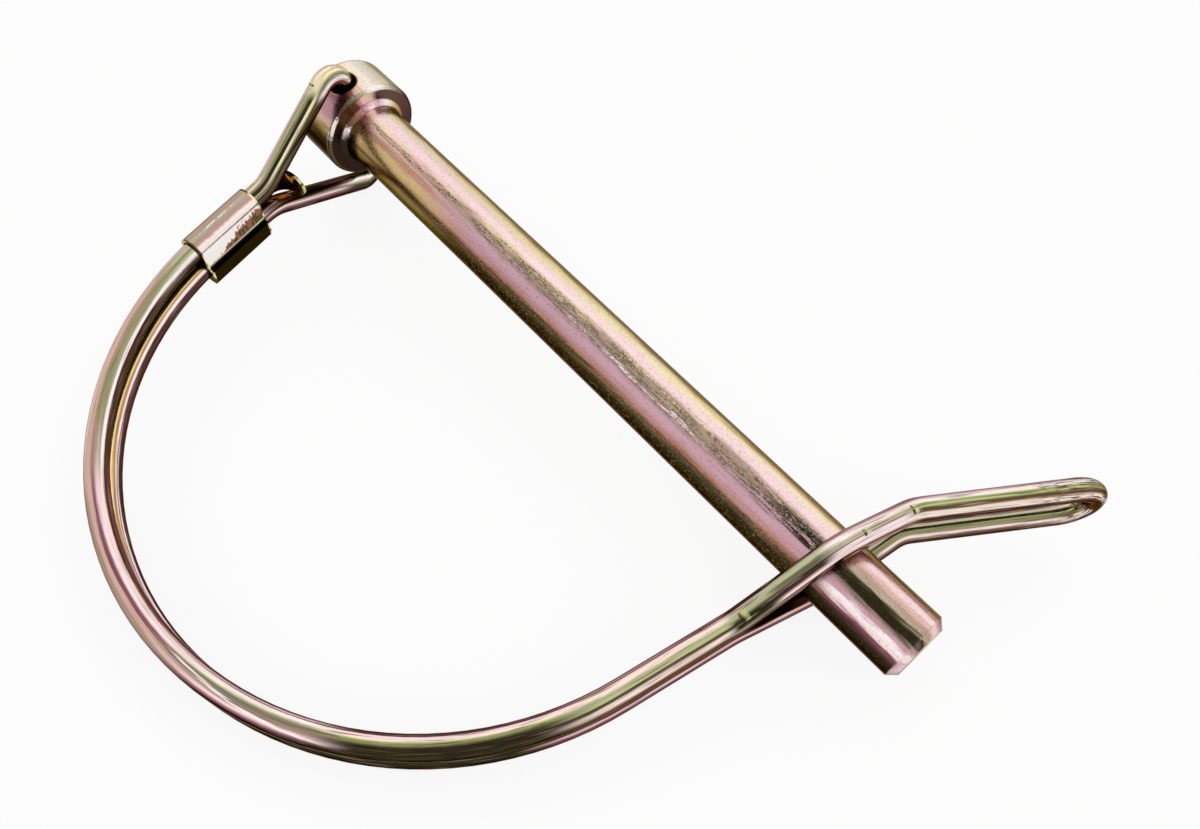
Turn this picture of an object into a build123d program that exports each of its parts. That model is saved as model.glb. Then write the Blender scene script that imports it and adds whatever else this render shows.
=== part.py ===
from build123d import *
from math import asin, atan2, cos, hypot, radians, sin, tan
import os

os.makedirs("parts", exist_ok=True)

# Overall lie: how the loose pin comes to rest, on the bail's far bend, its eye and its bow
lie_roll = 6.2
lie_pitch = 2.9

# Pin: turned shank with a wider head
shank_diameter = 8.0
shank_length = 92.0
tip_chamfer = 0.9
shank_root_round = 0.8
head_diameter = 13.0
head_length = 7.0
head_end_round = 1.0
head_shoulder_round = 0.5
hole_setback = 3.3
hole_lean = 6.0
hole_play = 0.5

# Bail: one length of round wire, doubled into a D that straddles the shank near the tip
wire_diameter = 2.6
leg_angle = 77.2
eye_angle = 79.5
leg_run = 26.7
near_reach = 10.0
far_reach = 12.0
stub_gap = 2.0
leg_bend = 2.2
pinch_lead = 2.5
pinch_bend = 6.0
strand_gap = 0.76
eye_setback = 11.8
eye_play = 0.6
eye_rise_run = 12.2
eye_fall_run = 9.8
eye_crest_bend = 6.0
eye_foot_bend = 4.0
tab_angle = 55.8
tab_run = 17.0
tab_gap = 3.5

# Ferrule: sheet band lapped over both strands, with a tongue that curls up between the legs
sheet = 0.4
ferrule_play = 0.1
ferrule_length = 9.6
ferrule_past = 1.9
lap_edge = 0.9
lap_slope = 8.0
lap_corner_round = 0.5
back_corner_round = 1.2
tongue_width = 3.4
tongue_run = 6.2
tongue_curl = 2.6
tongue_rise = 2.8
tongue_end_round = 1.6

# How far a cut runs past the surface it opens
overrun = 2.0

wire_radius = wire_diameter / 2
shank_radius = shank_diameter / 2
head_radius = head_diameter / 2
strand_offset = wire_radius + strand_gap / 2
tab_offset = wire_radius + tab_gap / 2
hole_diameter = wire_diameter + 2 * hole_play

# The ferrule runs a little onto the bow, and the legs close up just before its head-side mouth
ferrule_start = leg_run + ferrule_past - ferrule_length
pinch_run = ferrule_start - pinch_lead

lie = Plane.XY.rotated((lie_roll, lie_pitch, 0))

# Bail route in the lie plane: legs from the hinge, the round bow, then the eye at the shank and the tab
hinge = Vector(-hole_setback, 0, 0)
stub_way = Vector(0, -sin(radians(hole_lean)), cos(radians(hole_lean)))
eye = Vector(shank_length - eye_setback, 0, 0)
leg_way = Vector(cos(radians(leg_angle)), -sin(radians(leg_angle)), 0)
eye_way = Vector(cos(radians(eye_angle)), sin(radians(eye_angle)), 0)
tab_way = Vector(cos(radians(tab_angle)), sin(radians(tab_angle)), 0)
bow_turn = leg_angle + eye_angle
apex_run = (eye - hinge).length * sin(radians(eye_angle)) / sin(radians(bow_turn))
bow_radius = (apex_run - leg_run) / tan(radians(bow_turn / 2))
bow_apex = hinge + leg_way * apex_run
eye_rise = eye - eye_way * eye_rise_run
eye_fall = eye + eye_way * eye_fall_run
tab_end = eye_fall + tab_way * tab_run

# Pin: half outline turned about its own axis, then the leaning cross hole for the bail
hole_plane = Plane(lie.from_local_coords(hinge), x_dir=lie.x_dir, z_dir=lie.from_local_coords(stub_way))
with BuildPart() as pin:
    with BuildSketch(lie) as pin_half:
        with BuildLine() as pin_outline:
            Polyline(
                (-head_length, 0),
                (-head_length, head_radius),
                (0, head_radius),
                (0, shank_radius),
                (shank_length - tip_chamfer, shank_radius),
                (shank_length, shank_radius - tip_chamfer),
                (shank_length, 0),
                close=True,
            )
        make_face()
        fillet(pin_half.vertices().sort_by_distance((-head_length, head_radius))[0], head_end_round)
        fillet(pin_half.vertices().sort_by_distance((0, head_radius))[0], head_shoulder_round)
        fillet(pin_half.vertices().sort_by_distance((0, shank_radius))[0], shank_root_round)
    revolve(axis=Axis(lie.origin, lie.x_dir))
    with BuildSketch(hole_plane) as cross_hole:
        Circle(hole_diameter / 2)
    extrude(amount=head_radius + overrun, both=True, mode=Mode.SUBTRACT)

# The eye's rising flank passes the shank at the eye's play, and the crest lies where it crosses the axis
flank_run = eye_rise_run * sin(radians(eye_angle))
flank_reach = asin((shank_radius + eye_play + wire_radius) / hypot(flank_run, strand_offset))
eye_offset = strand_offset + flank_run * tan(flank_reach - atan2(strand_offset, flank_run))


def strand(side, reach):
    up = Vector(0, 0, side)
    points = [
        hinge + stub_way * (side * stub_gap / 2),
        hinge + stub_way * (side * reach),
        hinge + leg_way * pinch_run + up * strand_offset,
        bow_apex + up * strand_offset,
        eye_rise + up * strand_offset,
        eye + up * eye_offset,
        eye_fall + up * tab_offset,
        tab_end + up * tab_offset,
    ]
    return [lie.from_local_coords(point) for point in points]


near_strand = strand(1, near_reach)
far_strand = strand(-1, far_reach)
hairpin = lie.from_local_coords(tab_end + tab_way * tab_offset)
bends = [leg_bend, pinch_bend, bow_radius, eye_foot_bend, eye_crest_bend, eye_foot_bend]

with BuildPart() as wire_bail:
    with BuildLine() as bail_route:
        FilletPolyline(*near_strand, radius=bends)
        ThreePointArc(near_strand[-1], hairpin, far_strand[-1])
        FilletPolyline(*reversed(far_strand), radius=bends[::-1])
    bail_wire = bail_route.wire()
    with BuildSketch(Plane(origin=bail_wire @ 0, z_dir=bail_wire % 0)) as wire_section:
        Circle(wire_radius)
    sweep(path=bail_wire)

# Ferrule: section square to the legs, x across the strands to the near side, y to the outside of the D
leg_line = Axis(lie.from_local_coords(hinge), lie.from_local_coords(leg_way) - lie.origin)
ferrule_plane = Plane(
    origin=leg_line.position + leg_line.direction * ferrule_start,
    x_dir=lie.z_dir,
    z_dir=leg_line.direction,
)
tongue_plane = Plane(origin=ferrule_plane.origin, x_dir=-leg_line.direction, z_dir=lie.z_dir)
band_inner = wire_radius + ferrule_play
band_outer = band_inner + sheet
far_wall = strand_offset + band_outer
lap_top = band_outer + sheet
lap_drop = (far_wall - lap_edge) * tan(radians(lap_slope))
curl_inside = tongue_curl - sheet

with BuildPart() as ferrule:
    with BuildSketch(ferrule_plane) as band_section:
        with BuildLine() as band_outline:
            near_round = ThreePointArc(
                (strand_offset, -band_outer), (strand_offset + band_outer, 0), (strand_offset, band_outer)
            )
            Polyline(
                near_round @ 1,
                (-far_wall, band_outer),
                (-far_wall, lap_drop - lap_top),
                (-lap_edge, -lap_top),
                (-lap_edge, -band_outer),
                near_round @ 0,
            )
        make_face()
        fillet(band_section.vertices().sort_by_distance((-far_wall, lap_drop - lap_top))[0], lap_corner_round)
        fillet(band_section.vertices().sort_by_distance((-far_wall, band_outer))[0], back_corner_round)
        SlotCenterToCenter(2 * strand_offset, 2 * band_inner, mode=Mode.SUBTRACT)
    extrude(amount=ferrule_length)
    with BuildSketch(tongue_plane) as tongue_side:
        with BuildLine() as tongue_outline:
            tongue_back = Line((-ferrule_length / 2, band_outer), (tongue_run - tongue_curl, band_outer))
            outer_curl = JernArc(tongue_back @ 1, (1, 0), tongue_curl, -90)
            tongue_end = Polyline(
                outer_curl @ 1,
                (tongue_run, -tongue_rise),
                (tongue_run - sheet, -tongue_rise),
                (tongue_run - sheet, band_inner - curl_inside),
            )
            inner_curl = JernArc(tongue_end @ 1, (0, 1), curl_inside, 90)
            Polyline(inner_curl @ 1, (-ferrule_length / 2, band_inner), tongue_back @ 0)
        make_face()
    extrude(amount=tongue_width / 2, both=True)
    along = Axis(ferrule_plane.origin, ferrule_plane.z_dir)
    fillet(ferrule.edges().filter_by(along).sort_by(along)[:2], tongue_end_round)

pin.part.label = "pin"
wire_bail.part.label = "wire_bail"
ferrule.part.label = "ferrule"
export_step(pin.part, "parts/pin.step")
export_step(wire_bail.part, "parts/wire_bail.step")
export_step(ferrule.part, "parts/ferrule.step")
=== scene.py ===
import math

import bmesh
import bpy
from mathutils import Matrix, Vector


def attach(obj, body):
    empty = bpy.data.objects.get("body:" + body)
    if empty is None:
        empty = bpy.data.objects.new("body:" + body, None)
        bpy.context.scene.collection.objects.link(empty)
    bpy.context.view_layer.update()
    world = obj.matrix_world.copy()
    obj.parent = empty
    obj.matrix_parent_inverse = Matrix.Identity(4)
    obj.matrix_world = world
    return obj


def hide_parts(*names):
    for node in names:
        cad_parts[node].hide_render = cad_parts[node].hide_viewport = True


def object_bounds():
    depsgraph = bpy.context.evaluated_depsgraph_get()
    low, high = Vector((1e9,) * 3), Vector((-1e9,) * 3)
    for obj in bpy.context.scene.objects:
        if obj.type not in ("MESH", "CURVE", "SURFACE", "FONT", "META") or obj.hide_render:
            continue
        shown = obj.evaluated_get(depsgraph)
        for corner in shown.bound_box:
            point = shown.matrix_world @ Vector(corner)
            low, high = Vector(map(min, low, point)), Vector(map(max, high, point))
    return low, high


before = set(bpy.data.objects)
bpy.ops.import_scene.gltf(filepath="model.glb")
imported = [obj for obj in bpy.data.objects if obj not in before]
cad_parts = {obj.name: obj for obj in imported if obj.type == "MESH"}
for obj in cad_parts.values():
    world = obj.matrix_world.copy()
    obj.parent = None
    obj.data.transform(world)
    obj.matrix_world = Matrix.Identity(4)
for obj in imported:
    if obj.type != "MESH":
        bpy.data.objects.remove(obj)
cad_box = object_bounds()

MM = 0.001
CM = 10 * MM

# How the loose pin lies: the plane of its bail against the floor
lie_roll = math.radians(6.2)
lie_pitch = math.radians(2.9)
lie = Matrix.Rotation(lie_roll, 3, "X") @ Matrix.Rotation(lie_pitch, 3, "Y")

# Sizes of the pin and the bail, in metres
shank_radius = 4.0 * MM
shank_length = 92.0 * MM
head_length = 7.0 * MM
hole_setback = 3.3 * MM
hole_lean = math.radians(6.0)
wire_radius = 1.3 * MM
hole_play = 0.5 * MM
bore_radius = wire_radius + hole_play
leg_angle = math.radians(77.2)
eye_angle = math.radians(79.5)
tab_angle = math.radians(55.8)
leg_run = 26.7 * MM
near_reach = 10.0 * MM
far_reach = 12.0 * MM
stub_inset = 1.0 * MM
leg_bend = 2.2 * MM
pinch_run = 16.5 * MM
pinch_bend = 6.0 * MM
strand_offset = 1.68 * MM
eye_setback = 11.8 * MM
eye_play = 0.6 * MM
eye_rise_run = 12.2 * MM
eye_fall_run = 9.8 * MM
eye_crest_bend = 6.0 * MM
eye_foot_bend = 4.0 * MM
tab_run = 17.0 * MM
tab_offset = 3.05 * MM
ferrule_start = 19.0 * MM

hinge = Vector((-hole_setback, 0, 0))
stub_way = Vector((0, -math.sin(hole_lean), math.cos(hole_lean)))
eye = Vector((shank_length - eye_setback, 0, 0))
leg_way = Vector((math.cos(leg_angle), -math.sin(leg_angle), 0))
eye_way = Vector((math.cos(eye_angle), math.sin(eye_angle), 0))
tab_way = Vector((math.cos(tab_angle), math.sin(tab_angle), 0))
bow_turn = leg_angle + eye_angle
apex_run = (eye - hinge).length * math.sin(eye_angle) / math.sin(bow_turn)
bow_radius = (apex_run - leg_run) / math.tan(bow_turn / 2)
bow_apex = hinge + leg_way * apex_run
eye_rise = eye - eye_way * eye_rise_run
eye_fall = eye + eye_way * eye_fall_run
tab_end = eye_fall + tab_way * tab_run
flank_run = eye_rise_run * math.sin(eye_angle)
flank_reach = math.asin((shank_radius + eye_play + wire_radius) / math.hypot(flank_run, strand_offset))
eye_offset = strand_offset + flank_run * math.tan(flank_reach - math.atan2(strand_offset, flank_run))
strand_bends = [leg_bend, pinch_bend, bow_radius, eye_foot_bend, eye_crest_bend, eye_foot_bend]


def strand_corners(side, reach):
    up = Vector((0, 0, side))
    return [
        hinge + stub_way * side * stub_inset,
        hinge + stub_way * side * reach,
        hinge + leg_way * pinch_run + up * strand_offset,
        bow_apex + up * strand_offset,
        eye_rise + up * strand_offset,
        eye + up * eye_offset,
        eye_fall + up * tab_offset,
        tab_end + up * tab_offset,
    ]


# The wire: a ring of the wire's section drawn along the straight runs and turned round each bend
RING = 32
INSIDE_TURN = 0.25
HALF_TURN = 0.5
BEND_DEGREES = 3.0
FEWEST_STEPS = 4
SHORTEST_RUN = 1e-7
wire_mesh = bmesh.new()
along = wire_mesh.verts.layers.float.new("along")
around = wire_mesh.verts.layers.float.new("around")


class Drawing:
    def __init__(self, start, way, first):
        turn = Matrix((first, way.cross(first), way)).transposed().to_4x4()
        seat = Matrix.Translation(start) @ turn
        ring = bmesh.ops.create_circle(
            wire_mesh, cap_ends=False, segments=RING, radius=wire_radius, matrix=seat
        )["verts"]
        for k, vert in enumerate(ring):
            vert[around] = k / RING + INSIDE_TURN
        self.verts = ring
        self.place = start.copy()
        self.way = way.normalized()
        self.length = 0.0

    def ring_edges(self):
        kept = set(self.verts)
        return list({edge for vert in self.verts for edge in vert.link_edges if kept.issuperset(edge.verts)})

    def cap(self):
        bmesh.ops.edgeloop_fill(wire_mesh, edges=self.ring_edges())

    def grow(self, step):
        made = bmesh.ops.extrude_edge_only(wire_mesh, edges=self.ring_edges())["geom"]
        self.verts = [item for item in made if isinstance(item, bmesh.types.BMVert)]
        self.length += step
        for vert in self.verts:
            vert[along] = self.length

    def run(self, distance):
        if distance > SHORTEST_RUN:
            self.grow(distance)
            bmesh.ops.translate(wire_mesh, verts=self.verts, vec=self.way * distance)
            self.place = self.place + self.way * distance

    def bend(self, axis, angle, radius):
        steps = max(FEWEST_STEPS, math.ceil(math.degrees(angle) / BEND_DEGREES))
        inward = axis.cross(self.way).normalized()
        centre = self.place + inward * radius
        turn = Matrix.Rotation(angle / steps, 3, axis)
        for _ in range(steps):
            self.grow(radius * angle / steps)
            bmesh.ops.rotate(wire_mesh, verts=self.verts, cent=centre, matrix=turn)
            self.place = centre + turn @ (self.place - centre)
            self.way = turn @ self.way


def draw_strand(pen, corners, radii):
    ways = [(b - a).normalized() for a, b in zip(corners, corners[1:])]
    trims = [0.0]
    for before, after, radius in zip(ways, ways[1:], radii):
        trims.append(radius * math.tan(before.angle(after) / 2))
    trims.append(0.0)
    for i, way in enumerate(ways):
        pen.way = way
        pen.run((corners[i + 1] - corners[i]).length - trims[i] - trims[i + 1])
        if i < len(radii):
            pen.bend(way.cross(ways[i + 1]).normalized(), way.angle(ways[i + 1]), radii[i])


near_corners = strand_corners(1, near_reach)
far_corners = strand_corners(-1, far_reach)
pen = Drawing(near_corners[0], stub_way, stub_way.cross(leg_way).cross(stub_way).normalized())
pen.cap()
draw_strand(pen, near_corners, strand_bends)
pen.way = tab_way.copy()
near_length = pen.length + math.pi / 2 * tab_offset
pen.bend(tab_way.cross(Vector((0, 0, -1))).normalized(), math.pi, tab_offset)
draw_strand(pen, far_corners[::-1], strand_bends[::-1])
pen.cap()
bmesh.ops.recalc_face_normals(wire_mesh, faces=wire_mesh.faces)

# Map: x in centimetres from the near end, y round the wire with 0.5 on top and 0.25 on the inside of the D
wire_map = wire_mesh.loops.layers.uv.new("wire_map")
for face in wire_mesh.faces:
    past_hairpin = sum(vert[along] for vert in face.verts) / len(face.verts) > near_length
    first_turn = None
    for loop in face.loops:
        turn = loop.vert[around]
        if past_hairpin:
            turn = HALF_TURN - turn
        turn = turn % 1.0
        if first_turn is None:
            first_turn = turn
        turn += round(first_turn - turn)
        loop[wire_map].uv = (loop.vert[along] / CM, turn)
    face.smooth = len(face.verts) == 4
bmesh.ops.rotate(wire_mesh, verts=wire_mesh.verts, cent=(0, 0, 0), matrix=lie)
wire_data = bpy.data.meshes.new("formed_wire")
wire_mesh.to_mesh(wire_data)
wire_mesh.free()
formed_wire = bpy.data.objects.new("formed_wire", wire_data)
bpy.context.scene.collection.objects.link(formed_wire)
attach(formed_wire, "bail")
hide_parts("wire_bail")


# Finishes: yellow zinc plating, whose thin film turns rose, straw, green, mauve and brown over each piece,
# together with painted highlights and painted dark reflections laid in bands round each piece.
# The colours are named as they show under white light
PEARL = (0.95, 0.88, 0.86)
PINK_WHITE = (0.94, 0.70, 0.72)
PEACH = (0.72, 0.46, 0.39)
ROSE = (0.62, 0.37, 0.45)
MAUVE = (0.52, 0.28, 0.32)
PLUM = (0.25, 0.09, 0.12)
CREAM = (0.95, 0.80, 0.62)
LEMON = (0.93, 0.82, 0.44)
STRAW = (0.70, 0.48, 0.23)
TAN = (0.44, 0.31, 0.24)
GREIGE = (0.50, 0.44, 0.34)
LIME = (0.56, 0.64, 0.26)
PALE_GREEN = (0.48, 0.50, 0.29)
GREEN = (0.26, 0.28, 0.11)
GREY_GREEN = (0.21, 0.20, 0.12)
GOLD = (0.35, 0.23, 0.075)
AMBER = (0.72, 0.33, 0.07)
SALMON = (0.48, 0.25, 0.18)
RUST = (0.30, 0.13, 0.085)
TAUPE = (0.28, 0.21, 0.165)
OLIVE = (0.095, 0.075, 0.030)
RUSSET = (0.125, 0.072, 0.052)
MAROON = (0.085, 0.034, 0.032)
UMBER = (0.028, 0.022, 0.012)
SABLE = (0.030, 0.014, 0.012)
EDGE = (0.42, 0.38, 0.33)

# Sockets of a Mix node that mixes colours
MIX_SHARE, MIX_FIRST, MIX_SECOND = 0, 6, 7
MIX_RESULT = 2


def opaque(colour):
    return colour + (1,)


def math_node(tree, operation, first, second=0.0):
    node = tree.nodes.new("ShaderNodeMath")
    node.operation = operation
    for socket, value in zip(node.inputs, (first, second)):
        if isinstance(value, (int, float)):
            socket.default_value = value
        else:
            tree.links.new(value, socket)
    return node.outputs[0]


def times(tree, first, second):
    return math_node(tree, "MULTIPLY", first, second)


def plus(tree, first, second):
    return math_node(tree, "ADD", first, second)


def minus(tree, first, second):
    return math_node(tree, "SUBTRACT", first, second)


def over(tree, first, second):
    return math_node(tree, "DIVIDE", first, second)


def squared(tree, value):
    return math_node(tree, "POWER", value, 2)


def largest(tree, values):
    most = values[0]
    for value in values[1:]:
        most = math_node(tree, "MAXIMUM", most, value)
    return most


def mix_colour(tree, share, first, second):
    node = tree.nodes.new("ShaderNodeMix")
    node.data_type = "RGBA"
    for place, value in ((MIX_SHARE, share), (MIX_FIRST, first), (MIX_SECOND, second)):
        if isinstance(value, tuple):
            node.inputs[place].default_value = opaque(value)
        else:
            tree.links.new(value, node.inputs[place])
    return node.outputs[MIX_RESULT]


def span_node(tree, value, low, high, to_low=0.0, to_high=1.0):
    node = tree.nodes.new("ShaderNodeMapRange")
    node.interpolation_type = "SMOOTHSTEP"
    for name, number in (("From Min", low), ("From Max", high), ("To Min", to_low), ("To Max", to_high)):
        node.inputs[name].default_value = number
    tree.links.new(value, node.inputs["Value"])
    return node.outputs["Result"]


def fall_node(tree, value, low, high):
    return span_node(tree, value, low, high, 1.0, 0.0)


def between(tree, value, low, high, soft):
    rise = span_node(tree, value, low - soft, low + soft)
    fall = fall_node(tree, value, high - soft, high + soft)
    return times(tree, rise, fall)


def band_colour(tree, band, stops):
    node = tree.nodes.new("ShaderNodeValToRGB")
    elements = node.color_ramp.elements
    for element, (position, colour) in ((elements[0], stops[0]), (elements[1], stops[-1])):
        element.position = position
        element.color = opaque(colour)
    for position, colour in stops[1:-1]:
        elements.new(position).color = opaque(colour)
    tree.links.new(band, node.inputs["Fac"])
    return node.outputs["Color"]


def stretched(tree, place, scale):
    node = tree.nodes.new("ShaderNodeMapping")
    node.inputs["Scale"].default_value = scale
    tree.links.new(place, node.inputs["Vector"])
    return node.outputs["Vector"]


def split(tree, place):
    node = tree.nodes.new("ShaderNodeSeparateXYZ")
    tree.links.new(place, node.inputs[0])
    return node.outputs


def lie_coords(tree):
    coords = tree.nodes.new("ShaderNodeTexCoord")
    square = tree.nodes.new("ShaderNodeMapping")
    square.inputs["Rotation"].default_value = (-lie_roll, -lie_pitch, 0)
    tree.links.new(coords.outputs["Object"], square.inputs["Vector"])
    return square.outputs["Vector"]


# Turns round an axis run from 0 to 1 with 0.5 on top, and are written in degrees from the top
def turn_round(tree, across, up):
    angle = math_node(tree, "ARCTAN2", across, up)
    return plus(tree, over(tree, angle, 2 * math.pi), HALF_TURN)


def turn_of(degrees):
    return degrees / 360 + HALF_TURN


def turned(stops):
    return [(turn_of(degrees), colour) for degrees, colour in stops]


# The film: bands round a piece, for its colours and for painted highlights and painted dark reflections, that
# wander with clouds and fray with the lines of drawing
NOISE_MIDDLE = 0.5
GRAIN_RANGE = (0.3, 0.7)
FILM_PLACES = ("Place", "Drawn Place")
FILM_VALUES = ("Turn", "Cloud Scale", "Wander", "Grain Scale", "Line Scale", "Ragged")
FILM_RESULTS = ("Band", "Cloud", "Grain", "Lines")


def film_group():
    group = bpy.data.node_groups.new("zinc_film", "ShaderNodeTree")
    for name in FILM_PLACES:
        group.interface.new_socket(name, in_out="INPUT", socket_type="NodeSocketVector")
    for name in FILM_VALUES:
        group.interface.new_socket(name, in_out="INPUT", socket_type="NodeSocketFloat")
    for name in FILM_RESULTS:
        group.interface.new_socket(name, in_out="OUTPUT", socket_type="NodeSocketFloat")
    start = group.nodes.new("NodeGroupInput")
    end = group.nodes.new("NodeGroupOutput")

    def noise(place, scale, detail):
        node = group.nodes.new("ShaderNodeTexNoise")
        node.inputs["Detail"].default_value = detail
        group.links.new(start.outputs[place], node.inputs["Vector"])
        group.links.new(start.outputs[scale], node.inputs["Scale"])
        return node.outputs["Fac"]

    cloud = noise("Place", "Cloud Scale", detail=3.0)
    grain = noise("Place", "Grain Scale", detail=4.0)
    lines = noise("Drawn Place", "Line Scale", detail=4.0)
    sway = times(group, minus(group, cloud, NOISE_MIDDLE), start.outputs["Wander"])
    fray = times(group, minus(group, lines, NOISE_MIDDLE), start.outputs["Ragged"])
    band = plus(group, start.outputs["Turn"], plus(group, sway, fray))
    for name, value in zip(FILM_RESULTS, (band, cloud, grain, lines)):
        group.links.new(value, end.inputs[name])
    return group


film = film_group()


def film_node(tree, place, drawn_place, turn, **values):
    node = tree.nodes.new("ShaderNodeGroup")
    node.node_tree = film
    tree.links.new(place, node.inputs["Place"])
    tree.links.new(drawn_place, node.inputs["Drawn Place"])
    tree.links.new(turn, node.inputs["Turn"])
    for name, value in values.items():
        node.inputs[name.replace("_", " ").title()].default_value = value
    return [node.outputs[name] for name in FILM_RESULTS]


def metal(name):
    material = bpy.data.materials.new(name)
    material.use_nodes = True
    tree = material.node_tree
    shader = tree.nodes["Principled BSDF"]
    shader.inputs["Metallic"].default_value = 1.0
    shader.inputs["Specular Tint"].default_value = opaque(EDGE)
    return material, tree, shader


def lay_film_and_painted_light(tree, shader, colour, grain, smoothest, roughest):
    roughness = span_node(tree, grain, *GRAIN_RANGE, smoothest, roughest)
    tree.links.new(colour, shader.inputs["Base Color"])
    tree.links.new(roughness, shader.inputs["Roughness"])


def bump_normal(tree, shader, height, strength, distance):
    node = tree.nodes.new("ShaderNodeBump")
    node.inputs["Strength"].default_value = strength
    node.inputs["Distance"].default_value = distance
    tree.links.new(height, node.inputs["Height"])
    tree.links.new(node.outputs["Normal"], shader.inputs["Normal"])


# Places along the pin, measured from the front of the head: where each film or mark starts and ends
head_face = (-head_length + 0.02 * MM, -head_length + 0.2 * MM)
head_front = (-0.6 * MM, -0.45 * MM)
step_run = (-0.45 * MM, 0.75 * MM)
fleck_run = (2 * MM, 80 * MM)
streak_growth = (5 * MM, 42 * MM)
root_fade = (12 * MM, 26 * MM)
scratch_run = (41 * MM, 62 * MM)
worn_run = (50 * MM, 80 * MM)
streak_dark = (68 * MM, 75 * MM)
tip_fade = (79 * MM, 83 * MM)
chamfer = (shank_length - 0.95 * MM, shank_length - 0.7 * MM)
tip_face = (shank_length - 0.1 * MM, shank_length - 0.03 * MM)

# The dark streak's turn round the shank, and half its width in turns before and after it grows
streak_middle = turn_of(-13)
streak_widths = (0.014, 0.046)

# Distances from the pin's axis, and from the cross hole's
shoulder_start = (4.55 * MM, 4.85 * MM)
rim_start = (5.95 * MM, 6.15 * MM)
bore_edge = bore_radius + 0.1 * MM
bore_end = bore_edge + 0.1 * MM

# How fast the colours change across the end faces
end_bands_per_metre = 60


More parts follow.
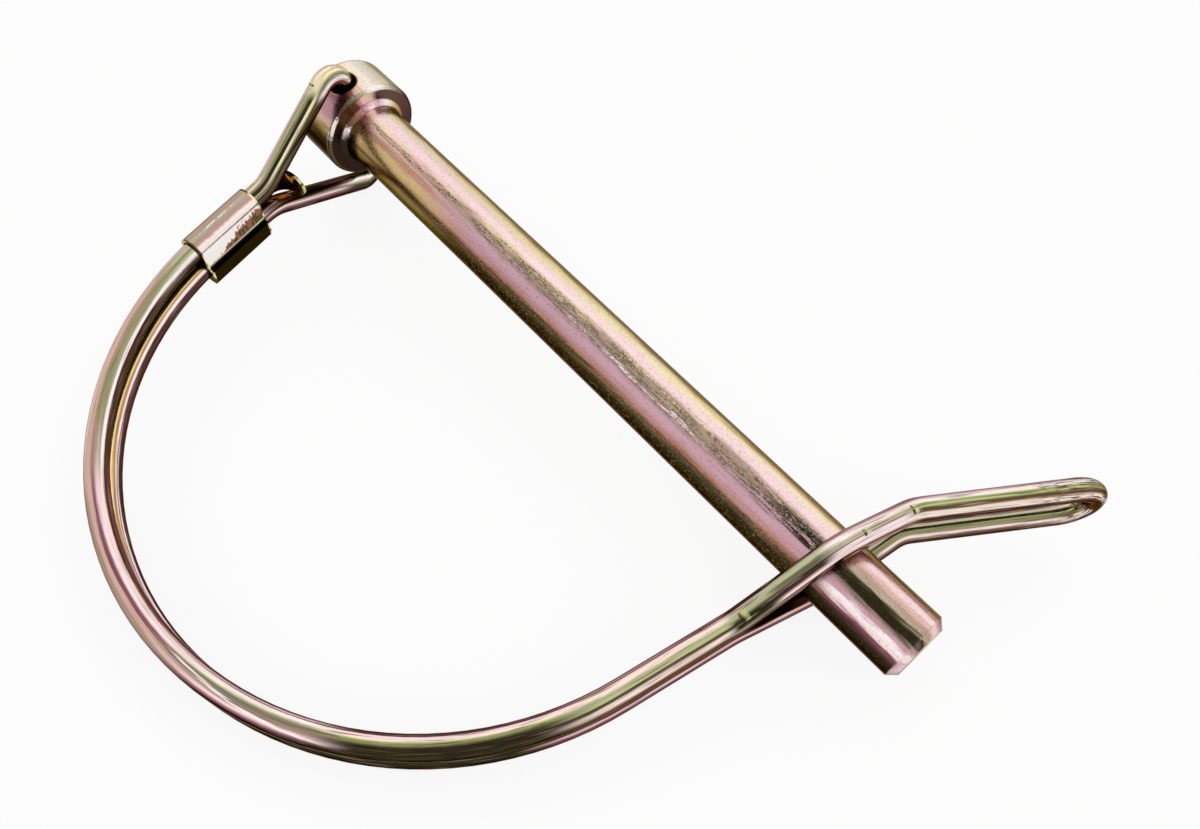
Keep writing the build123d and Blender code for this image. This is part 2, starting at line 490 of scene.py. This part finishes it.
def pin_plating_and_painted_light():
    material, tree, shader = metal("pin_plating_and_painted_light")
    place = lie_coords(tree)
    x, y, z = split(tree, place)
    off_axis = math_node(tree, "SQRT", plus(tree, squared(tree, y), squared(tree, z)))
    turn = turn_round(tree, y, z)
    band, cloud, grain, lines = film_node(
        tree, stretched(tree, place, (0.45, 1, 1)), stretched(tree, place, (0.09, 1, 1)), turn,
        cloud_scale=130, wander=0.03, grain_scale=6200, line_scale=2800, ragged=0.06
    )

    def turns_between(low, high, soft):
        return between(tree, band, turn_of(low), turn_of(high), soft)

    # Film colours with painted light: pale painted highlights and painted dark reflections at set turns round
    # the pin, from the shank to the rim
    shank = band_colour(tree, band, turned([
        (-180, MAUVE), (-150, STRAW), (-125, OLIVE), (-104, UMBER), (-70, UMBER), (-61, OLIVE),
        (-56, RUST), (-49, SALMON), (-43, MAUVE), (-34, ROSE), (-23, ROSE), (-12, TAN), (-3, PEACH),
        (6, PINK_WHITE), (16, PINK_WHITE), (24, CREAM), (31, CREAM), (37, STRAW), (43, GOLD),
        (55, TAUPE), (75, OLIVE), (100, GREEN), (130, ROSE), (180, MAUVE)
    ]))
    root = band_colour(tree, band, turned([
        (-180, MAUVE), (-125, OLIVE), (-104, UMBER), (-90, OLIVE), (-73, GOLD), (-65, RUSSET),
        (-57, GOLD), (-47, STRAW), (-36, STRAW), (-27, SALMON), (-18, PEACH), (-8, PEACH),
        (2, PINK_WHITE), (16, PINK_WHITE), (22, CREAM), (31, CREAM), (37, STRAW), (43, GOLD),
        (55, TAUPE), (80, OLIVE), (115, ROSE), (180, MAUVE)
    ]))
    tip = band_colour(tree, band, turned([
        (-180, MAUVE), (-120, UMBER), (-74, UMBER), (-66, MAROON), (-59, PLUM), (-53, PINK_WHITE),
        (-44, PEARL), (-38, ROSE), (-32, MAUVE), (-28, TAUPE), (-24, UMBER), (-13, UMBER), (-9, OLIVE),
        (-4, GREIGE), (3, TAN), (11, PEACH), (20, PINK_WHITE), (26, PINK_WHITE), (33, PEACH),
        (39, SALMON), (46, GOLD), (60, TAUPE), (95, GREEN), (130, ROSE), (180, MAUVE)
    ]))
    head = band_colour(tree, band, turned([
        (-180, MAUVE), (-120, UMBER), (-80, UMBER), (-66, OLIVE), (-59, GOLD), (-53, PEACH),
        (-44, MAUVE), (-33, MAUVE), (-26, PLUM), (-10, MAUVE), (2, PEACH), (9, PINK_WHITE), (16, PEARL),
        (29, PEARL), (38, CREAM), (46, PALE_GREEN), (54, PALE_GREEN), (63, GREY_GREEN),
        (75, GREY_GREEN), (100, GREEN), (125, ROSE), (180, MAUVE)
    ]))
    shoulder = band_colour(tree, band, turned([
        (-180, SABLE), (-66, SABLE), (-45, RUSSET), (-24, RUSSET), (-12, RUST), (-2, PINK_WHITE),
        (14, PINK_WHITE), (20, RUSSET), (50, RUSSET), (100, MAROON), (180, SABLE)
    ]))
    root_round = band_colour(tree, band, turned([
        (-180, UMBER), (-70, UMBER), (-50, PEARL), (-42, RUSSET), (-24, RUST), (-4, MAUVE),
        (10, PINK_WHITE), (24, ROSE), (40, PEARL), (50, CREAM), (62, STRAW), (85, GOLD), (180, UMBER)
    ]))
    rim = band_colour(tree, band, turned([
        (-180, UMBER), (-100, OLIVE), (-70, OLIVE), (-59, PEARL), (-46, PEARL), (-38, MAROON),
        (-24, OLIVE), (-10, GREY_GREEN), (2, PALE_GREEN), (11, PEARL), (26, PEARL), (40, GREIGE),
        (52, TAUPE), (68, MAROON), (180, UMBER)
    ]))
    across = plus(tree, times(tree, plus(tree, y, z), end_bands_per_metre), cloud)
    end_face = band_colour(tree, across, [
        (0.1, PLUM), (0.35, MAUVE), (0.5, PEACH), (0.62, CREAM), (0.75, GREIGE), (0.9, GREEN)
    ])

    # The shank from its root on: yellow patches, wear, the dark streak and a bright scratch
    colour = mix_colour(tree, span_node(tree, x, *root_fade), root, shank)
    yellow_edges = largest(tree, [turns_between(-11, 2, soft=0.02), turns_between(20, 40, soft=0.02)])
    yellowed = times(tree, span_node(tree, cloud, 0.46, 0.58, 0.0, 0.6), yellow_edges)
    colour = mix_colour(tree, yellowed, colour, LEMON)
    worn = times(tree, between(tree, x, *worn_run, soft=8 * MM), turns_between(-14, 6, soft=0.01))
    worn = times(tree, worn, span_node(tree, lines, 0.40, 0.56))
    colour = mix_colour(tree, worn, colour, TAN)
    streak_off = math_node(tree, "ABSOLUTE", minus(tree, band, streak_middle))
    streak_reach = span_node(tree, x, *streak_growth, *streak_widths)
    streak = times(
        tree, fall_node(tree, over(tree, streak_off, streak_reach), 0.55, 1.0),
        span_node(tree, plus(tree, lines, grain), 0.84, 1.00)
    )
    streak_colour = mix_colour(tree, span_node(tree, lines, 0.44, 0.58), OLIVE, TAN)
    streak_colour = mix_colour(tree, span_node(tree, x, *streak_dark), streak_colour, UMBER)
    colour = mix_colour(tree, streak, colour, streak_colour)
    scratch = times(tree, turns_between(-21, -18, soft=0.003), between(tree, x, *scratch_run, soft=2 * MM))
    scratch = times(tree, scratch, span_node(tree, grain, 0.42, 0.55))
    colour = mix_colour(tree, scratch, colour, PEARL)

    # The tip with its bare chamfer and end face
    colour = mix_colour(tree, span_node(tree, x, *tip_fade), colour, tip)
    bare = times(tree, span_node(tree, x, *chamfer), span_node(tree, cloud, 0.36, 0.52))
    colour = mix_colour(tree, bare, colour, PINK_WHITE)
    colour = mix_colour(tree, span_node(tree, x, *tip_face), colour, end_face)

    # The head and the step down to the shank
    head_yellow = times(tree, span_node(tree, cloud, 0.45, 0.58, 0.0, 0.4), turns_between(-2, 40, soft=0.03))
    head = mix_colour(tree, head_yellow, head, LEMON)
    head = mix_colour(tree, fall_node(tree, x, *head_face), head, end_face)
    colour = mix_colour(tree, fall_node(tree, x, *head_front), colour, head)
    step = mix_colour(tree, span_node(tree, off_axis, *shoulder_start), root_round, shoulder)
    step = mix_colour(tree, span_node(tree, off_axis, *rim_start), step, rim)
    colour = mix_colour(tree, between(tree, x, *step_run, soft=0.1 * MM), colour, step)

    # Pits all over, flecks on the shank, and gold painted inside the cross hole as a painted reflection that
    # lifts its shade
    pits = span_node(tree, grain, 0.30, 0.46, 0.4, 0.0)
    colour = mix_colour(tree, pits, colour, OLIVE)
    fleck_grain = span_node(tree, grain, 0.54, 0.68, 0.0, 0.5)
    flecks = times(tree, fleck_grain, between(tree, x, *fleck_run, soft=2 * MM))
    fleck_colour = mix_colour(tree, span_node(tree, band, turn_of(-66), turn_of(-50)), GOLD, GREIGE)
    colour = mix_colour(tree, flecks, colour, fleck_colour)
    # Painted reflection: gold inside the cross hole
    bore_across = plus(tree, times(tree, y, math.cos(hole_lean)), times(tree, z, math.sin(hole_lean)))
    off_bore = plus(tree, squared(tree, minus(tree, x, hinge.x)), squared(tree, bore_across))
    colour = mix_colour(tree, fall_node(tree, off_bore, bore_edge ** 2, bore_end ** 2), colour, GOLD)
    lay_film_and_painted_light(tree, shader, colour, grain, smoothest=0.16, roughest=0.30)
    bump_normal(tree, shader, grain, strength=0.22, distance=0.04 * MM)
    return material


# Marks along the wire, in centimetres from its near end, and the glint's slope in turns per centimetre
hard_leg_end = (3.0, 3.8)
calm_leg_end = (2.6, 3.0)
green_run = (3.6, 6.2)
glint_run = (9.0, 10.7)
glint_middle = 9.4
glint_slope = 0.07
hard_run = (10.4, 23.0)
dark_foot_run = (10.8, 12.9)
hook_run = (18.5, 19.9)
tool_marks = (1.06, 15.02, 16.42, 17.12)
nick_half = 0.015
shine_start = 0.03
shine_end = 0.08

# Share of the bright lines that is left out on calm stretches
calm_share = 0.85


def wire_plating_and_painted_light():
    material, tree, shader = metal("wire_plating_and_painted_light")
    coords = tree.nodes.new("ShaderNodeTexCoord")
    place = coords.outputs["UV"]
    along, turn, _ = split(tree, place)
    turn = math_node(tree, "FRACT", turn)
    band, cloud, grain, lines = film_node(
        tree, stretched(tree, place, (0.10, 1, 1)), stretched(tree, place, (0.035, 1, 1)), turn,
        cloud_scale=4, wander=0.04, grain_scale=60, line_scale=46, ragged=0.035
    )
    # Film colours with painted light: pale painted highlights and painted dark reflections at set turns round
    # the wire, darkest underneath
    bend = band_colour(tree, band, [
        (0.0, UMBER), (0.16, RUSSET), (0.20, SALMON), (0.235, RUSSET), (0.255, ROSE), (0.275, PEARL),
        (0.31, PEARL), (0.33, PALE_GREEN), (0.35, GREY_GREEN), (0.375, GREIGE), (0.40, LEMON),
        (0.43, LEMON), (0.455, CREAM), (0.53, CREAM), (0.60, LEMON), (0.70, PEACH), (0.80, MAROON),
        (1.0, UMBER)
    ])
    leg = band_colour(tree, band, [
        (0.0, UMBER), (0.22, UMBER), (0.25, RUSSET), (0.28, OLIVE), (0.30, GREY_GREEN), (0.32, OLIVE),
        (0.335, OLIVE), (0.35, PALE_GREEN), (0.362, LEMON), (0.376, PEARL), (0.386, LEMON),
        (0.393, UMBER), (0.438, UMBER), (0.448, GREEN), (0.47, GREEN), (0.50, PALE_GREEN), (0.53, TAN),
        (0.555, PEACH), (0.585, PINK_WHITE), (0.65, PINK_WHITE), (0.75, MAROON), (1.0, UMBER)
    ])
    leg_end = band_colour(tree, band, [
        (0.0, UMBER), (0.22, UMBER), (0.25, MAROON), (0.30, RUSSET), (0.325, TAUPE), (0.35, GREY_GREEN),
        (0.378, PALE_GREEN), (0.386, UMBER), (0.428, UMBER), (0.445, TAUPE), (0.475, TAN),
        (0.492, PALE_GREEN), (0.503, CREAM), (0.53, GREIGE), (0.555, GREIGE), (0.58, CREAM),
        (0.64, PINK_WHITE), (0.75, MAROON), (1.0, UMBER)
    ])
    bow_top = band_colour(tree, band, [
        (0.0, UMBER), (0.22, UMBER), (0.27, MAROON), (0.295, MAROON), (0.31, PEARL), (0.362, PEARL),
        (0.372, CREAM), (0.385, PALE_GREEN), (0.41, GREIGE), (0.44, GREEN), (0.47, PALE_GREEN),
        (0.51, PALE_GREEN), (0.528, MAUVE), (0.545, PEACH), (0.58, PINK_WHITE), (0.65, PEACH),
        (0.75, MAROON), (1.0, UMBER)
    ])
    bow = band_colour(tree, band, [
        (0.0, UMBER), (0.18, UMBER), (0.24, OLIVE), (0.275, MAROON), (0.325, MAROON), (0.337, MAUVE),
        (0.35, PEARL), (0.380, PEARL), (0.392, TAN), (0.42, GREIGE), (0.45, TAN), (0.478, TAN),
        (0.49, SALMON), (0.508, MAUVE), (0.53, PEACH), (0.56, PEACH), (0.59, CREAM), (0.63, PINK_WHITE),
        (0.68, TAN), (0.75, MAROON), (1.0, UMBER)
    ])
    bow_side = band_colour(tree, band, [
        (0.0, UMBER), (0.18, UMBER), (0.24, RUSSET), (0.275, PLUM), (0.335, MAROON), (0.352, RUST),
        (0.37, CREAM), (0.385, PINK_WHITE), (0.45, PINK_WHITE), (0.463, MAUVE), (0.475, PLUM),
        (0.502, PLUM), (0.515, PEACH), (0.56, PEACH), (0.585, TAN), (0.64, TAN), (0.70, MAUVE),
        (0.76, MAROON), (1.0, UMBER)
    ])
    low = band_colour(tree, band, [
        (0.0, UMBER), (0.25, UMBER), (0.30, MAROON), (0.335, PLUM), (0.348, ROSE), (0.36, PINK_WHITE),
        (0.41, PEARL), (0.432, CREAM), (0.45, PALE_GREEN), (0.47, GREY_GREEN), (0.50, TAUPE),
        (0.535, TAN), (0.555, TAN), (0.57, PINK_WHITE), (0.592, PINK_WHITE), (0.607, MAUVE),
        (0.63, PLUM), (0.65, MAROON), (0.665, UMBER), (1.0, UMBER)
    ])
    foot = band_colour(tree, band, [
        (0.0, UMBER), (0.30, UMBER), (0.34, MAROON), (0.383, PLUM), (0.395, PINK_WHITE),
        (0.43, PINK_WHITE), (0.455, CREAM), (0.468, LIME), (0.485, GREEN), (0.505, GREEN),
        (0.518, OLIVE), (0.535, UMBER), (0.70, UMBER), (1.0, UMBER)
    ])
    rise = band_colour(tree, band, [
        (0.0, UMBER), (0.32, MAROON), (0.37, MAUVE), (0.402, SALMON), (0.415, PINK_WHITE),
        (0.445, CREAM), (0.482, CREAM), (0.499, GREIGE), (0.52, PALE_GREEN), (0.545, LIME),
        (0.558, LIME), (0.566, OLIVE), (0.585, RUSSET), (0.60, MAUVE), (0.615, PEARL), (0.65, CREAM),
        (0.668, SALMON), (0.69, RUSSET), (0.80, RUSSET), (1.0, UMBER)
    ])
    eye_side = band_colour(tree, band, [
        (0.0, UMBER), (0.36, MAROON), (0.403, MAROON), (0.415, GREIGE), (0.475, PALE_GREEN),
        (0.51, PALE_GREEN), (0.53, GREY_GREEN), (0.545, OLIVE), (0.56, UMBER), (0.645, UMBER),
        (0.67, TAUPE), (0.69, GREIGE), (0.705, OLIVE), (0.74, MAROON), (1.0, UMBER)
    ])
    eye_top = band_colour(tree, band, [
        (0.0, UMBER), (0.28, SALMON), (0.345, TAN), (0.375, GREIGE), (0.40, PALE_GREEN),
        (0.455, PALE_GREEN), (0.475, GREY_GREEN), (0.525, GREY_GREEN), (0.545, UMBER), (0.60, MAROON),
        (0.622, MAUVE), (0.64, PEARL), (0.658, PINK_WHITE), (0.672, RUSSET), (0.70, SALMON),
        (0.74, MAROON), (1.0, UMBER)
    ])
    crest = band_colour(tree, band, [
        (0.0, UMBER), (0.26, MAROON), (0.30, RUST), (0.36, MAUVE), (0.388, MAUVE), (0.40, PINK_WHITE),
        (0.44, PEARL), (0.475, CREAM), (0.495, GREIGE), (0.535, GREIGE), (0.548, RUSSET),
        (0.562, PINK_WHITE), (0.64, PEARL), (0.655, PINK_WHITE), (0.67, RUST), (0.69, RUSSET),
        (0.705, SALMON), (0.73, PEACH), (0.80, SALMON), (0.90, MAROON), (1.0, UMBER)
    ])
    tab = band_colour(tree, band, [
        (0.0, UMBER), (0.28, MAROON), (0.36, MAUVE), (0.395, ROSE), (0.408, PINK_WHITE), (0.45, PEARL),
        (0.475, CREAM), (0.487, PALE_GREEN), (0.51, GREEN), (0.53, LIME), (0.55, GREEN), (0.565, OLIVE),
        (0.59, RUSSET), (0.61, SALMON), (0.622, CREAM), (0.682, PEARL), (0.695, SALMON), (0.71, MAROON),
        (0.80, MAROON), (1.0, UMBER)
    ])
    far_tab = band_colour(tree, band, [
        (0.0, UMBER), (0.30, TAN), (0.36, SALMON), (0.40, RUSSET), (0.455, MAROON), (0.468, GREIGE),
        (0.485, GREIGE), (0.505, PALE_GREEN), (0.525, PALE_GREEN), (0.55, GREEN), (0.575, GREEN),
        (0.597, SALMON), (0.612, PEARL), (0.635, PEARL), (0.648, RUST), (0.68, RUSSET), (0.70, MAROON),
        (0.80, UMBER), (1.0, UMBER)
    ])
    far_foot = band_colour(tree, band, [
        (0.0, UMBER), (0.38, GREY_GREEN), (0.43, OLIVE), (0.48, UMBER), (0.60, MAROON), (0.635, MAROON),
        (0.645, PEACH), (0.66, PINK_WHITE), (0.675, PLUM), (0.70, PLUM), (0.74, MAROON), (1.0, UMBER)
    ])
    far_bow = band_colour(tree, band, [
        (0.0, UMBER), (0.18, UMBER), (0.24, MAROON), (0.318, MAROON), (0.33, PLUM), (0.34, PINK_WHITE),
        (0.375, PEARL), (0.385, MAUVE), (0.395, GOLD), (0.41, AMBER), (0.435, LEMON), (0.46, GOLD),
        (0.50, GOLD), (0.53, MAROON), (0.62, MAROON), (0.70, UMBER), (1.0, UMBER)
    ])
    far_leg = band_colour(tree, band, [
        (0.0, UMBER), (0.20, UMBER), (0.235, MAROON), (0.265, PLUM), (0.285, MAUVE), (0.298, PEARL),
        (0.318, GREIGE), (0.335, TAUPE), (0.36, RUSSET), (0.425, MAROON), (0.44, TAN), (0.48, TAN),
        (0.52, RUSSET), (0.70, UMBER), (1.0, UMBER)
    ])
    far_leg_end = band_colour(tree, band, [
        (0.0, UMBER), (0.26, UMBER), (0.30, RUSSET), (0.325, TAUPE), (0.345, PALE_GREEN), (0.36, PEARL),
        (0.405, PEARL), (0.425, LIME), (0.45, GREEN), (0.47, OLIVE), (0.50, UMBER), (1.0, UMBER)
    ])

    # Each film, with its painted light, gives way to the next along the wire, from the near end to the far
    # one
    colour = bend
    for start, end, next_colour in (
        (1.05, 1.25, leg), (2.0, 2.6, leg_end), (3.1, 3.4, bow_top), (3.9, 4.6, bow), (6.3, 7.2, bow_side),
        (8.5, 9.6, low), (10.5, 11.1, foot), (12.7, 13.5, rise), (14.75, 14.95, eye_side),
        (15.3, 15.5, eye_top), (15.95, 16.15, crest), (16.9, 17.3, tab), (19.5, 20.2, far_tab),
        (22.0, 22.6, far_foot), (25.6, 26.4, foot), (28.8, 29.6, far_bow), (35.9, 36.4, far_leg),
        (37.4, 37.8, far_leg_end)
    ):
        colour = mix_colour(tree, span_node(tree, along, start, end), colour, next_colour)

    # A green patch on the bow, and the lines of drawing, dark and bright
    green_cloud = span_node(tree, cloud, 0.46, 0.56, 0.0, 0.8)
    green_band = times(tree, between(tree, band, 0.405, 0.50, soft=0.01), green_cloud)
    green_patch = times(tree, between(tree, along, *green_run, soft=0.4), green_band)
    colour = mix_colour(tree, green_patch, colour, GREEN)
    drawn_hard = largest(
        tree, [span_node(tree, along, *hard_leg_end, 1.0, 0.5), between(tree, along, *hard_run, soft=0.5)]
    )
    dark_lines = times(tree, drawn_hard, span_node(tree, lines, 0.34, 0.46, 0.8, 0.0))
    colour = mix_colour(tree, dark_lines, colour, OLIVE)
    # The painted shade under the foot keeps most bright lines out
    dark_side = span_node(tree, band, 0.515, 0.535)
    dark_foot = times(tree, between(tree, along, *dark_foot_run, soft=0.3), dark_side)
    calm = largest(tree, [dark_foot, fall_node(tree, along, *calm_leg_end)])
    drawn_light = minus(tree, drawn_hard, times(tree, calm, calm_share))
    bright_lines = times(tree, drawn_light, span_node(tree, lines, 0.57, 0.66, 0.0, 0.6))
    colour = mix_colour(tree, bright_lines, colour, GREIGE)

    # A bright glint that slants across the bow, specks on the hairpin and the marks of the forming tools
    slant = minus(tree, band, times(tree, minus(tree, along, glint_middle), glint_slope))
    glint_line = between(tree, slant, 0.495, 0.525, soft=0.006)
    glint = times(tree, glint_line, between(tree, along, *glint_run, soft=0.3))
    glint = times(tree, glint, span_node(tree, lines, 0.40, 0.50))
    colour = mix_colour(tree, glint, colour, PEARL)
    hook_specks = times(tree, between(tree, along, *hook_run, soft=0.3), span_node(tree, grain, 0.50, 0.56))
    colour = mix_colour(tree, hook_specks, colour, RUSSET)
    marked = times(tree, between(tree, turn, 0.47, 0.60, soft=0.02), span_node(tree, lines, 0.44, 0.52))
    nicks = [between(tree, along, spot - nick_half, spot + nick_half, soft=0.01) for spot in tool_marks]
    shines = [between(tree, along, spot + shine_start, spot + shine_end, soft=0.015) for spot in tool_marks]
    nick = times(tree, largest(tree, nicks), marked)
    shine = times(tree, largest(tree, shines), marked)
    colour = mix_colour(tree, nick, colour, UMBER)
    colour = mix_colour(tree, shine, colour, LIME)
    lay_film_and_painted_light(tree, shader, colour, grain, smoothest=0.08, roughest=0.18)
    bump_normal(tree, shader, minus(tree, lines, nick), strength=0.14, distance=0.03 * MM)
    return material


# Places along the leg on the ferrule: its mouth near the head, its far end and what lies between
mouth_rim = (ferrule_start - 0.05 * MM, ferrule_start + 0.25 * MM)
far_rim = (ferrule_start + 9.35 * MM, ferrule_start + 9.45 * MM)
reflection_run = (ferrule_start + 1.5 * MM, ferrule_start + 8.4 * MM)
tick_run = (ferrule_start + 2 * MM, ferrule_start + 8 * MM)
lap_fade = (ferrule_start, ferrule_start + 4 * MM)
tongue_root = (ferrule_start - 0.6 * MM, ferrule_start - 0.2 * MM)

# Places across the ferrule: inward to its inner face and the tongue's lip, up from midway between the strands
inner_start = (1.70 * MM, 1.78 * MM)
lip_start = (1.9 * MM, 2.3 * MM)
reflection_heights = (2.1 * MM, -0.1 * MM)
reflection_ragged = 2.6 * MM
reflection_edge = (-0.05 * MM, 0.05 * MM)
core_start = (0.35 * MM, 0.6 * MM)
core_ragged = 0.5 * MM
lap_shade_top = (-0.22 * MM, -0.12 * MM)
lap_line_height = (-0.2 * MM, 0.06 * MM)


def ferrule_plating_and_painted_light():
    material, tree, shader = metal("ferrule_plating_and_painted_light")
    along_leg = tree.nodes.new("ShaderNodeMapping")
    along_leg.inputs["Rotation"].default_value = (0, 0, leg_angle)
    along_leg.inputs["Location"].default_value = -(Matrix.Rotation(leg_angle, 3, "Z") @ hinge)
    tree.links.new(lie_coords(tree), along_leg.inputs["Vector"])
    place = along_leg.outputs["Vector"]
    along, inward, up = split(tree, place)
    turn = turn_round(tree, inward, minus(tree, up, strand_offset))
    band, cloud, grain, lines = film_node(
        tree, place, stretched(tree, place, (1, 0.2, 0.2)), turn,
        cloud_scale=500, wander=0.02, grain_scale=5000, line_scale=2600, ragged=0.03
    )
    # Film colours with painted light: a pale painted highlight over the inner face and a painted dark
    # reflection along the bottom
    colour = band_colour(tree, band, turned([
        (-180, UMBER), (-150, OLIVE), (-120, STRAW), (-92, PEACH), (-68, CREAM), (-52, STRAW),
        (-44, MAUVE), (-34, TAN), (-22, GREIGE), (-12, TAN), (-3, TAN), (6, GREIGE), (15, GREIGE),
        (25, TAN), (35, MAUVE), (44, CREAM), (51, PEARL), (80, PEARL), (180, PEARL)
    ]))

    # The inner face: a ragged painted brown reflection, painted shade below the lap, and the lap's line
    inner_face = span_node(tree, inward, *inner_start)
    ragged = times(tree, minus(tree, plus(tree, cloud, lines), 2 * NOISE_MIDDLE), reflection_ragged)
    reach = plus(tree, span_node(tree, along, *reflection_run, *reflection_heights), ragged)
    reflection_depth = minus(tree, reach, up)
    painted_reflection = times(tree, inner_face, span_node(tree, reflection_depth, *reflection_edge))
    core_depth = plus(tree, reflection_depth, times(tree, lines, core_ragged))
    reflection_core = span_node(tree, core_depth, *core_start)
    core_colour = mix_colour(tree, span_node(tree, lines, 0.46, 0.56), OLIVE, RUST)
    colour = mix_colour(tree, painted_reflection, colour, mix_colour(tree, reflection_core, SALMON, core_colour))
    lap_shade = times(tree, inner_face, fall_node(tree, up, *lap_shade_top))
    lap_line = times(tree, inner_face, between(tree, up, *lap_line_height, soft=0.05 * MM))
    line_colour = mix_colour(tree, span_node(tree, along, *lap_fade), LIME, GREIGE)
    colour = mix_colour(tree, lap_shade, colour, UMBER)
    colour = mix_colour(tree, lap_line, colour, line_colour)

    # Bright ticks on top, the cut rims and the tongue
    tick_lines = times(tree, span_node(tree, lines, 0.46, 0.56), between(tree, along, *tick_run, soft=1 * MM))
    ticks = times(tree, between(tree, band, turn_of(4), turn_of(9), soft=0.006), tick_lines)
    colour = mix_colour(tree, ticks, colour, PEARL)
    mouth = between(tree, along, *mouth_rim, soft=0.04 * MM)
    cut_rim = largest(tree, [mouth, span_node(tree, along, *far_rim)])
    rim_colour = mix_colour(tree, span_node(tree, cloud, 0.42, 0.52), LEMON, OLIVE)
    colour = mix_colour(tree, cut_rim, colour, rim_colour)
    lip = span_node(tree, inward, *lip_start)
    heat = mix_colour(tree, span_node(tree, cloud, 0.42, 0.60), AMBER, RUST)
    tongue_colour = mix_colour(tree, lip, heat, LIME)
    colour = mix_colour(tree, fall_node(tree, along, *tongue_root), colour, tongue_colour)
    lay_film_and_painted_light(tree, shader, colour, grain, smoothest=0.10, roughest=0.22)
    bump_normal(tree, shader, lines, strength=0.18, distance=0.04 * MM)
    return material


formed_wire.data.materials.append(wire_plating_and_painted_light())
for node, finish in (("pin", pin_plating_and_painted_light()), ("ferrule", ferrule_plating_and_painted_light())):
    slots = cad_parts[node].data.materials
    slots.clear()
    slots.append(finish)


# Pale floor, which looks white to the camera and keeps the shadow
FLOOR_REACH = 2.0
FLOOR_GREY = (0.86, 0.86, 0.86)
WHITE = (1, 1, 1)
GLOW_SHARE = 0.88
floor_data = bpy.data.meshes.new("floor")
floor_mesh = bmesh.new()
bmesh.ops.create_grid(floor_mesh, x_segments=1, y_segments=1, size=FLOOR_REACH)
bmesh.ops.translate(floor_mesh, verts=floor_mesh.verts, vec=(0, 0, cad_box[0][2]))
floor_mesh.to_mesh(floor_data)
floor_mesh.free()
floor = bpy.data.objects.new("floor", floor_data)
bpy.context.scene.collection.objects.link(floor)


def pale_floor():
    material = bpy.data.materials.new("pale_floor")
    material.use_nodes = True
    tree = material.node_tree
    tree.nodes.clear()
    out = tree.nodes.new("ShaderNodeOutputMaterial")
    matt = tree.nodes.new("ShaderNodeBsdfDiffuse")
    matt.inputs["Color"].default_value = opaque(FLOOR_GREY)
    glow = tree.nodes.new("ShaderNodeEmission")
    glow.inputs["Color"].default_value = opaque(WHITE)
    glow.inputs["Strength"].default_value = 1.0
    path = tree.nodes.new("ShaderNodeLightPath")
    rays = ("Is Camera Ray", "Is Glossy Ray", "Is Transmission Ray")
    seen = largest(tree, [path.outputs[name] for name in rays])
    mix = tree.nodes.new("ShaderNodeMixShader")
    tree.links.new(times(tree, seen, GLOW_SHARE), mix.inputs["Fac"])
    tree.links.new(matt.outputs[0], mix.inputs[1])
    tree.links.new(glow.outputs[0], mix.inputs[2])
    tree.links.new(mix.outputs[0], out.inputs["Surface"])
    return material


floor.data.materials.append(pale_floor())

# Soft studio light: an even surround and three large softboxes aimed at the middle of the part
SURROUND = (0.90, 0.89, 0.88)
world = bpy.data.worlds.new("studio")
bpy.context.scene.world = world
world.use_nodes = True
tree = world.node_tree
tree.nodes.clear()
out = tree.nodes.new("ShaderNodeOutputWorld")
soft = tree.nodes.new("ShaderNodeBackground")
soft.inputs["Color"].default_value = opaque(SURROUND)
soft.inputs["Strength"].default_value = 1.0
tree.links.new(soft.outputs[0], out.inputs["Surface"])
middle = (Vector(cad_box[0]) + Vector(cad_box[1])) / 2


def softbox(name, offset, size, power):
    data = bpy.data.lights.new(name, "AREA")
    data.shape = "RECTANGLE"
    data.size, data.size_y = size
    data.energy = power
    lamp = bpy.data.objects.new(name, data)
    bpy.context.scene.collection.objects.link(lamp)
    place = middle + Vector(offset)
    way = middle - place
    lamp.matrix_world = Matrix.Translation(place) @ way.to_track_quat("-Z", "Y").to_matrix().to_4x4()


softbox("key_softbox", offset=(0.10, 0.42, 0.46), size=(1.0, 0.8), power=0.4)
softbox("front_softbox", offset=(0.15, -0.62, 0.30), size=(1.0, 0.45), power=0.2)
softbox("head_softbox", offset=(-0.62, 0.12, 0.50), size=(0.9, 0.7), power=0.3)

# The photograph's camera, fitted in the frame of the unturned pin: its axes, its place and its focal length
PHOTO_WIDTH = 1200
FOCAL_PIXELS = 1054
SENSOR_WIDTH = 36
camera_axes = Matrix((
    (0.66288, -0.65414, 0.36428),
    (0.74870, 0.58344, -0.31472),
    (-0.00666, 0.48136, 0.87650),
))
camera_place = Vector((0.09356, -0.04241, 0.10207))
camera_data = bpy.data.cameras.new("photo_camera")
camera_data.sensor_fit = "HORIZONTAL"
camera_data.sensor_width = SENSOR_WIDTH
camera_data.lens = SENSOR_WIDTH * FOCAL_PIXELS / PHOTO_WIDTH
camera_data.clip_start = 5 * MM
camera = bpy.data.objects.new("photo_camera", camera_data)
bpy.context.scene.collection.objects.link(camera)
camera.matrix_world = Matrix.Translation(lie @ camera_place) @ (lie @ camera_axes).to_4x4()
bpy.context.scene.camera = camera
bpy.context.scene.view_settings.view_transform = "Standard"
